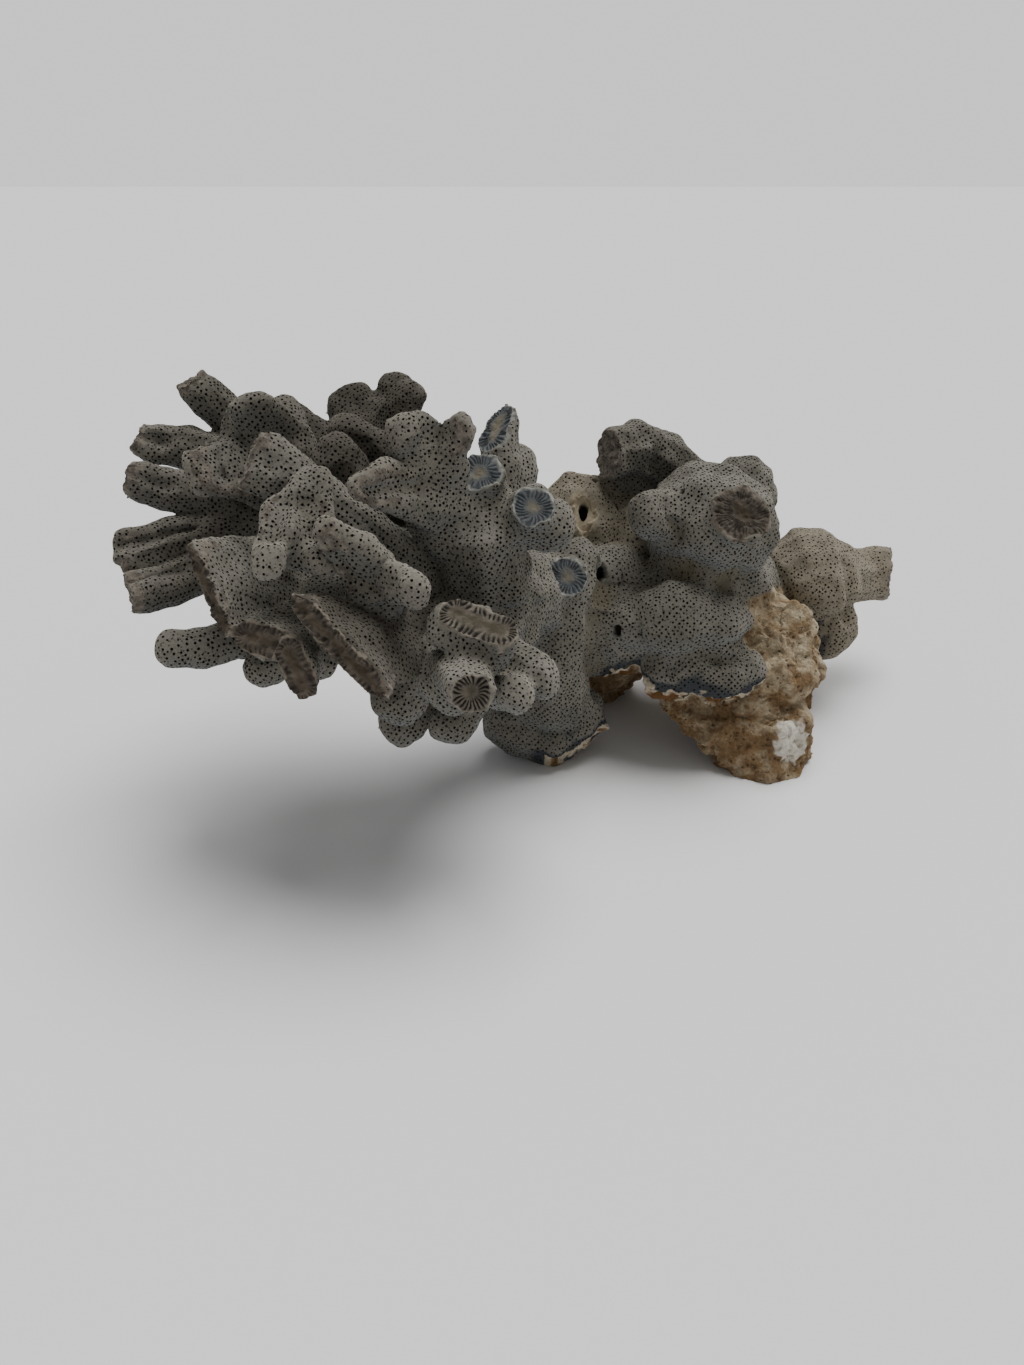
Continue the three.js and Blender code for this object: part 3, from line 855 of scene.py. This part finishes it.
def cap(piece):
    """Close a piece's open ends, and return how many faces it had before."""
    mesh = piece.data
    outside = len(mesh.polygons)
    with edit_mode(piece):
        bpy.ops.mesh.select_mode(type="EDGE")
        bpy.ops.mesh.select_all(action="DESELECT")
        bpy.ops.mesh.select_non_manifold(extend=False, use_wire=False, use_multi_face=False,
                                         use_non_contiguous=False, use_verts=False)
        bpy.ops.mesh.mark_sharp()
        bpy.ops.mesh.extrude_edges_move()
    turned = read(mesh.vertices, "select", kind=bool)
    places = points_of(mesh)
    places[turned] += TURN_IN * read(mesh.attributes["inwards"].data, "vector", 3)[turned]
    set_points(mesh, places)
    with edit_mode(piece):
        bpy.ops.mesh.fill_holes(sides=0)
        bpy.ops.mesh.select_mode(type="FACE")
        bpy.ops.mesh.poke()
        bpy.ops.mesh.select_all(action="SELECT")
        bpy.ops.mesh.quads_convert_to_tris()
        bpy.ops.mesh.normals_make_consistent(inside=False)
    corners = points_of(mesh)[corners_of(mesh).reshape(-1, 3)]
    volume = np.einsum("ij,ij->", corners[:, 0], np.cross(corners[:, 1], corners[:, 2]))
    if volume < 0:
        mesh.flip_normals()
    return outside


def keep_normals(piece, outside):
    """Give the outside the normals of the whole skin, and leave the caps to Blender."""
    mesh = piece.data
    arrows = read(mesh.attributes["whole_arrow"].data, "vector", 3)
    arrows[3 * outside:] = 0
    mesh.normals_split_custom_set(arrows.tolist())
    mesh.attributes.remove(mesh.attributes["whole_arrow"])
    mesh.attributes.remove(mesh.attributes["inwards"])


for name, piece in pieces.items():
    outside = cap(piece)
    keep_normals(piece, outside)
    print(piece.name, len(piece.data.polygons), "triangles,", len(piece.data.polygons) - outside,
          "of them in the caps")

# %% [markdown]
# ## Materials
# The skeleton is aragonite, a dry and chalky form of limestone. Nothing on it shines, so the
# roughness is near 1 and the diffuse roughness spreads the light as dust does. Its grey is never
# even. So each material builds its colour in layers, and the layers follow the shape through the
# numbers that were stored at every point. All the patterns use the object's own coordinates, so
# their scales are real sizes.

# %% A colour function and one helper for nodes


def hex_colour(text):
    """Turn an sRGB hex colour such as "7a7a76" into Blender's linear values."""
    parts = [int(text[start:start + 2], 16) / 255 for start in (0, 2, 4)]
    return tuple(part / 12.92 if part <= 0.04045 else ((part + 0.055) / 1.055) ** 2.4
                 for part in parts) + (1.0,)


def add_node(material, kind, inputs=None, output=0, **settings):
    """Add one node, set it up, link or fill its inputs, and return one of its outputs."""
    node = material.node_tree.nodes.new("ShaderNode" + kind)
    for name, value in settings.items():
        setattr(node, name, value)
    for name, value in (inputs or {}).items():
        if isinstance(value, bpy.types.NodeSocket):
            material.node_tree.links.new(value, node.inputs[name])
        else:
            node.inputs[name].default_value = value
    return node.outputs[output] if node.outputs else None


# Inputs and output of a colour Mix node, by number, because its names repeat.
SHARE = 0
UNDER = 6
OVER = 7
MIXED = 2


def per_metre(size):
    """Scale of a noise whose lumps are this size."""
    return 1 / size


def new_material(name):
    material = bpy.data.materials.new(name)
    material.use_nodes = True
    material.node_tree.nodes.clear()
    return material


def lay_over(material, colour, layers):
    """Lay colours over each other, each where its value runs from low to high.

    The value is the name of a point attribute, which blends in softly, or a node's output.
    """
    for value, low, high, strength, tint in layers:
        blend = "LINEAR"
        if isinstance(value, str):
            value = add_node(material, "Attribute", output="Fac", attribute_name=value)
            blend = "SMOOTHSTEP"
        share = add_node(material, "MapRange", {
            "Value": value, "From Min": low, "From Max": high, "To Max": strength},
            interpolation_type=blend)
        tint = hex_colour(tint) if isinstance(tint, str) else tint
        colour = add_node(material, "Mix", {SHARE: share, UNDER: colour, OVER: tint}, MIXED,
                          data_type="RGBA")
    return colour


def mottle(material, colour, pattern, low, high, dark, bright):
    """Multiply a colour by a pattern. Returns the colour and its factor."""
    factor = add_node(material, "MapRange", {
        "Value": pattern, "From Min": low, "From Max": high, "To Min": dark, "To Max": bright})
    mix = add_node(material, "Mix", {SHARE: 1.0, UNDER: colour, OVER: factor}, MIXED,
                   data_type="RGBA", blend_type="MULTIPLY")
    return mix, factor


print("black to white:", hex_colour("000000")[0], "to", hex_colour("ffffff")[0])

# %% [markdown]
# ### Dead crust
# Reef limestone that worms bored and the sea stained. Its surface is broken, not cut, and coated
# with dried silt, so it is as dull as chalk. Cream lumps of about 5 mm lie in sandy brown, ochre
# and brown stains of 9 mm gather near the foot, and pits 2 mm apart are painted dark as shade. The
# base uses it as its own material, and the skeleton's material lays it over the arch.

# %% The dead crust's colours and relief


def add_crust(material):
    """Rough, stained limestone. Returns its colour and its height."""
    place = add_node(material, "TexCoord", output="Object")
    lumps, sand, stains = [add_node(material, "TexNoise", {
        "Vector": place, "Scale": per_metre(size), "Detail": detail, "Roughness": roughness})
        for size, detail, roughness in [
            (5 * MM, 5.0, 0.6), (0.7 * MM, 3.0, 0.6), (9 * MM, 6.0, 0.65)]]
    pits = add_node(material, "TexVoronoi", {
        "Vector": place, "Scale": per_metre(1.9 * MM), "Randomness": 1.0})
    up = add_node(material, "SeparateXYZ", {"Vector": place}, "Z")
    paler = add_node(material, "MapRange", {
        "Value": up, "From Min": 10 * MM, "From Max": 24 * MM, "To Min": -0.05, "To Max": 0.05})
    lumps_up = add_node(material, "Math", {0: lumps, 1: paler}, operation="ADD")
    stains_down = add_node(material, "Math", {0: stains, 1: paler}, operation="SUBTRACT")
    # Pits are painted dark: painted shade inside them.
    pitted = add_node(material, "MapRange", {
        "Value": pits, "From Min": 0.08, "From Max": 0.22, "To Min": 0.75, "To Max": 0.0})
    colour = lay_over(material, hex_colour("8a7050"), [
        (lumps_up, 0.42, 0.64, 1.0, "bcae93"),
        (stains_down, 0.54, 0.7, 0.8, "6f4e2e"),
        (pitted, 0.0, 1.0, 1.0, "3f3024"),
    ])
    colour = mottle(material, colour, sand, 0.3, 0.7, 0.72, 1.15)[0]
    height = add_node(material, "Math", {0: sand, 1: pitted}, operation="SUBTRACT")
    return colour, height


reef = new_material("dead_reef_limestone")
crust_colour, crust_height = add_crust(reef)
crust_colour = lay_over(reef, crust_colour, [("pale", 0.15, 0.8, 1.0, "dcd6c9")])
bump = add_node(reef, "Bump", {
    "Height": crust_height, "Strength": 1.0, "Distance": 0.5 * MM})
shader = add_node(reef, "BsdfPrincipled", {
    "Base Color": crust_colour, "Roughness": 0.95, "Diffuse Roughness": 0.8,
    "Specular IOR Level": 0.25, "IOR": 1.55, "Normal": bump})
add_node(reef, "OutputMaterial", {"Surface": shader})
print("crust nodes:", len(reef.node_tree.nodes))

# %% [markdown]
# ### Blue coral skeleton
# Grey aragonite in patches of about 13 mm. Dust stays in the hollows and tips are rubbed pale.
# Undersides are painted darker and bluer, which is painted shade. The rims of the blades are
# blotched with brown where the surface died first. A brown layer, partly dead algae stain and
# partly painted shade, darkens the fan, its hand blade, the rear branch and the diagonal blade,
# and deep between the fan's blades it is painted nearly black as shade. Between the pores lie
# smaller ones, a third of a millimetre wide, and fibres 0.4 mm long give a velvet grain. The small
# pores could be cut like the big ones, but at that size a dark spot of painted shade with a little
# relief looks the same.

# %% Blue coral skeleton: colour of the grown surface
skeleton = new_material("blue_coral_aragonite")
place = add_node(skeleton, "TexCoord", output="Object")
patches, blotches, grain = [add_node(skeleton, "TexNoise", {
    "Vector": place, "Scale": per_metre(size), "Detail": detail, "Roughness": roughness})
    for size, detail, roughness in [
        (13 * MM, 3.0, 0.55), (2.2 * MM, 4.0, 0.65), (0.42 * MM, 2.0, 0.6)]]
blotch_share = add_node(skeleton, "MapRange", {
    "Value": blotches, "From Min": 0.42, "From Max": 0.58})
rim_tint = add_node(skeleton, "Mix", {
    SHARE: blotch_share, UNDER: hex_colour("5a5249"), OVER: hex_colour("8a8277")}, MIXED,
    data_type="RGBA")
normal = add_node(skeleton, "NewGeometry", output="Normal")
upwards = add_node(skeleton, "SeparateXYZ", {"Vector": normal}, "Z")
# Painted shade: undersides are laid darker and bluer, the brown layer is partly painted shade, and
# the fan's hollows are painted nearly black as shade.
colour = lay_over(skeleton, hex_colour("747066"), [
    (patches, 0.38, 0.62, 1.0, "88847b"),
    (upwards, 0.1, -0.7, 0.65, "5f6467"),
    ("bulge", -0.2, -1.5, 0.8, "6e6652"),
    ("sandy", 0.1, 0.8, 0.7, "958b78"),
    ("brown_stain_and_shade", 0.0, 1.0, 0.7, "453f36"),
    ("hollow_shade", 0.0, 1.0, 0.6, "2a2620"),
    ("bulge", 0.5, 1.6, 0.45, "989084"),
    ("rim", 0.1, 0.6, 0.8, rim_tint),
])
colour = mottle(skeleton, colour, grain, 0.3, 0.7, 0.8, 1.12)[0]
# Small pores are painted as dark spots: painted shade for holes too small to cut.
small_pores = add_node(skeleton, "TexVoronoi", {
    "Vector": place, "Scale": per_metre(0.72 * MM), "Randomness": 0.9})
colour, small_pore_share = mottle(skeleton, colour, small_pores, 0.17, 0.34, 0.38, 1.06)
print("skeleton nodes so far:", len(skeleton.node_tree.nodes))

# %% [markdown]
# The breaks belong to the same material. The tubes run round the rim, so their stripes come from
# the place that was stored at each point: how far round the rim it lies, and how far out.

# %% Colour of the breaks, and of the bored holes
spot = add_node(skeleton, "Attribute", output="Vector", attribute_name="break_place")
round_rim, outwards = add_node(skeleton, "SeparateXYZ", {"Vector": spot}).node.outputs[:2]
turns = add_node(skeleton, "Math", {0: round_rim, 1: 2 * math.pi * MM / TUBE_SPACING},
                 operation="MULTIPLY")
wave = add_node(skeleton, "Math", {0: turns}, operation="COSINE")
ring = add_node(skeleton, "MapRange", {"Value": outwards, "From Min": 0.35, "From Max": 0.6})
for name, flesh, tube_tint, middle, edge, contrast in [
    (FRESH, "6d6f70", "3c4145", "837a66", "9a9a94", 0.85),
    (OLD, "7f776b", "1f1c18", "4f4838", "918a7e", 0.95),
    (CRUMBLED, "6a6157", "29231c", "574d3f", "837a6e", 0.5),
]:
    tube = add_node(skeleton, "MapRange", {
        "Value": wave, "From Min": -0.6, "From Max": 0.7, "To Max": contrast})
    tubes = add_node(skeleton, "Math", {0: tube, 1: ring}, operation="MULTIPLY")
    face = lay_over(skeleton, hex_colour(flesh), [
        (blotch_share, 0.0, 1.0, 0.5, tube_tint),
        (outwards, 0.45, 0.1, 0.8, middle),
        (tubes, 0.0, 1.0, 1.0, tube_tint),
        (outwards, 0.86, 0.97, 1.0, edge),
    ])
    colour = lay_over(skeleton, colour, [(name, 0.3, 0.7, 1.0, face)])
# Holes that are not pale are painted nearly black inside: painted shade.
colour = lay_over(skeleton, colour, [
    ("pale", 0.2, 0.8, 1.0, "b3a68f"),
    ("bored", 0.1, 0.7, 1.0, "2a251f"),
])
print("skeleton nodes so far:", len(skeleton.node_tree.nodes))

# %% [markdown]
# A dark slate band lies above the arch, where the living edge was worn off. Under it the crust
# begins with a pale lip.

# %% Crust over the skeleton's lower edge, and its shader
crust_colour, crust_height = add_crust(skeleton)
ceiling = lay_over(skeleton, crust_colour, [
    ("arch_edge", 1.6, 3.0, 1.0, "6f4f2e"),
    ("arch_edge", 1.8, 1.0, 0.8, "c9bfab"),
])
colour = lay_over(skeleton, colour, [
    ("arch_edge", -4.6, -1.6, 0.85, "2f353b"),
    ("leg_edge", -1.5, 0.8, 1.0, crust_colour),
    ("arch_edge", -0.3, 0.1, 1.0, ceiling),
])
grain_bump = add_node(skeleton, "Bump", {
    "Height": grain, "Strength": 0.7, "Distance": 0.12 * MM})
small_pore_bump = add_node(skeleton, "Bump", {
    "Height": small_pore_share, "Strength": 0.6, "Distance": 0.15 * MM, "Normal": grain_bump})
arch = add_node(skeleton, "Attribute", output="Fac", attribute_name="arch_edge")
in_arch = add_node(skeleton, "MapRange", {"Value": arch, "From Min": -0.3, "From Max": 0.1})
arch_height = add_node(skeleton, "Math", {0: crust_height, 1: in_arch}, operation="MULTIPLY")
crust_bump = add_node(skeleton, "Bump", {
    "Height": arch_height, "Strength": 1.0, "Distance": 0.4 * MM, "Normal": small_pore_bump})
shader = add_node(skeleton, "BsdfPrincipled", {
    "Base Color": colour, "Roughness": 0.93, "Diffuse Roughness": 0.8,
    "Specular IOR Level": 0.25, "IOR": 1.53, "Normal": crust_bump})
add_node(skeleton, "OutputMaterial", {"Surface": shader})
print("skeleton nodes:", len(skeleton.node_tree.nodes))

# %% [markdown]
# ### Pore lining, painted shade
# The same aragonite inside the pores, painted nearly black as shade. Nothing rubs it smooth, so it
# is rougher still. The painted shade is uneven in flecks of about half a millimetre.

# %% Pore lining, painted dark as shade
lining = new_material("pore_lining_painted_shade")
place = add_node(lining, "TexCoord", output="Object")
shade_flecks = add_node(lining, "TexNoise", {
    "Vector": place, "Scale": per_metre(0.5 * MM), "Detail": 2.0})
shade_tint = add_node(lining, "Mix", {
    SHARE: shade_flecks, UNDER: hex_colour("1f1d1a"), OVER: hex_colour("35312c")}, MIXED,
    data_type="RGBA")
shader = add_node(lining, "BsdfPrincipled", {
    "Base Color": shade_tint, "Roughness": 0.95, "Diffuse Roughness": 0.8,
    "Specular IOR Level": 0.2, "IOR": 1.53})
add_node(lining, "OutputMaterial", {"Surface": shader})
print("lining nodes:", len(lining.node_tree.nodes))

# %% Put the materials on the pieces
for name, piece in pieces.items():
    mesh = piece.data
    in_pore = read_numbers(mesh, "in_pore")
    mesh.materials.clear()
    mesh.materials.append(reef if name in CRUST_NODES else skeleton)
    mesh.materials.append(lining)
    mesh.polygons.foreach_set("material_index", in_pore)
    for extra in ("in_pore", "branch", "pore_size"):
        mesh.attributes.remove(mesh.attributes[extra])
    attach(piece, "root")
    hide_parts(name)
print("materials set on", len(pieces), "pieces")

# %% [markdown]
# ## Camera, floor and light
# The camera looks down at the coral by 30 degrees from close by, as someone holding a phone does.
# The coral stands on a pale floor. A broad soft light hangs high behind it on the right, so the
# shadow falls to the lower left. It is a sun 45 degrees wide, because an area lamp that large
# would show in the picture. A dim, even sky fills the front. The camera sees that sky brighter
# than it is, so that the floor's far edge does not stand out as a line.

# %% Camera
CAMERA_PLACE = (-13.45 * MM, -207.26 * MM, 140 * MM)
CAMERA_DOWN = 30  # degrees
CAMERA_LENS = 26.37  # millimetres, for the default sensor 36 mm wide

camera_data = bpy.data.cameras.new("camera")
camera = bpy.data.objects.new("camera", camera_data)
bpy.context.scene.collection.objects.link(camera)
camera.location = CAMERA_PLACE
camera.rotation_euler = (math.radians(90 - CAMERA_DOWN), 0, 0)
camera_data.lens = CAMERA_LENS
bpy.context.scene.camera = camera
print("camera stands", round(camera.location.z / MM), "mm over the floor")

# %% Floor
bpy.ops.object.select_all(action="DESELECT")
bpy.ops.mesh.primitive_plane_add(size=4)
floor = bpy.context.object
floor.name = "floor"
print("floor:", floor.dimensions.x, "by", floor.dimensions.y, "m")

# %% Lights
FILL = 0.29  # what the sky gives the coral
LAMP_WAY = (0.2, 0.22, 0.9)  # from the coral to the lamp
LAMP_STRENGTH = 3.6
LAMP_WIDTH = 45  # degrees
BACKDROP = 0.98  # what the camera sees behind the floor
world = bpy.data.worlds.new("studio")
bpy.context.scene.world = world
world.use_nodes = True
sky = world.node_tree.nodes["Background"]
sky.inputs["Color"].default_value = (0.98, 0.99, 0.98, 1)
seen = add_node(world, "LightPath", output="Is Camera Ray")
strength = add_node(world, "MapRange", {"Value": seen, "To Min": FILL, "To Max": BACKDROP})
world.node_tree.links.new(strength, sky.inputs["Strength"])
lamp_data = bpy.data.lights.new("key", "SUN")
lamp = bpy.data.objects.new("key", lamp_data)
bpy.context.scene.collection.objects.link(lamp)
lamp.rotation_euler = Vector(LAMP_WAY).to_track_quat("Z", "Y").to_euler()
lamp_data.energy = LAMP_STRENGTH
lamp_data.angle = math.radians(LAMP_WIDTH)
print("lamps:", len(bpy.data.lights))
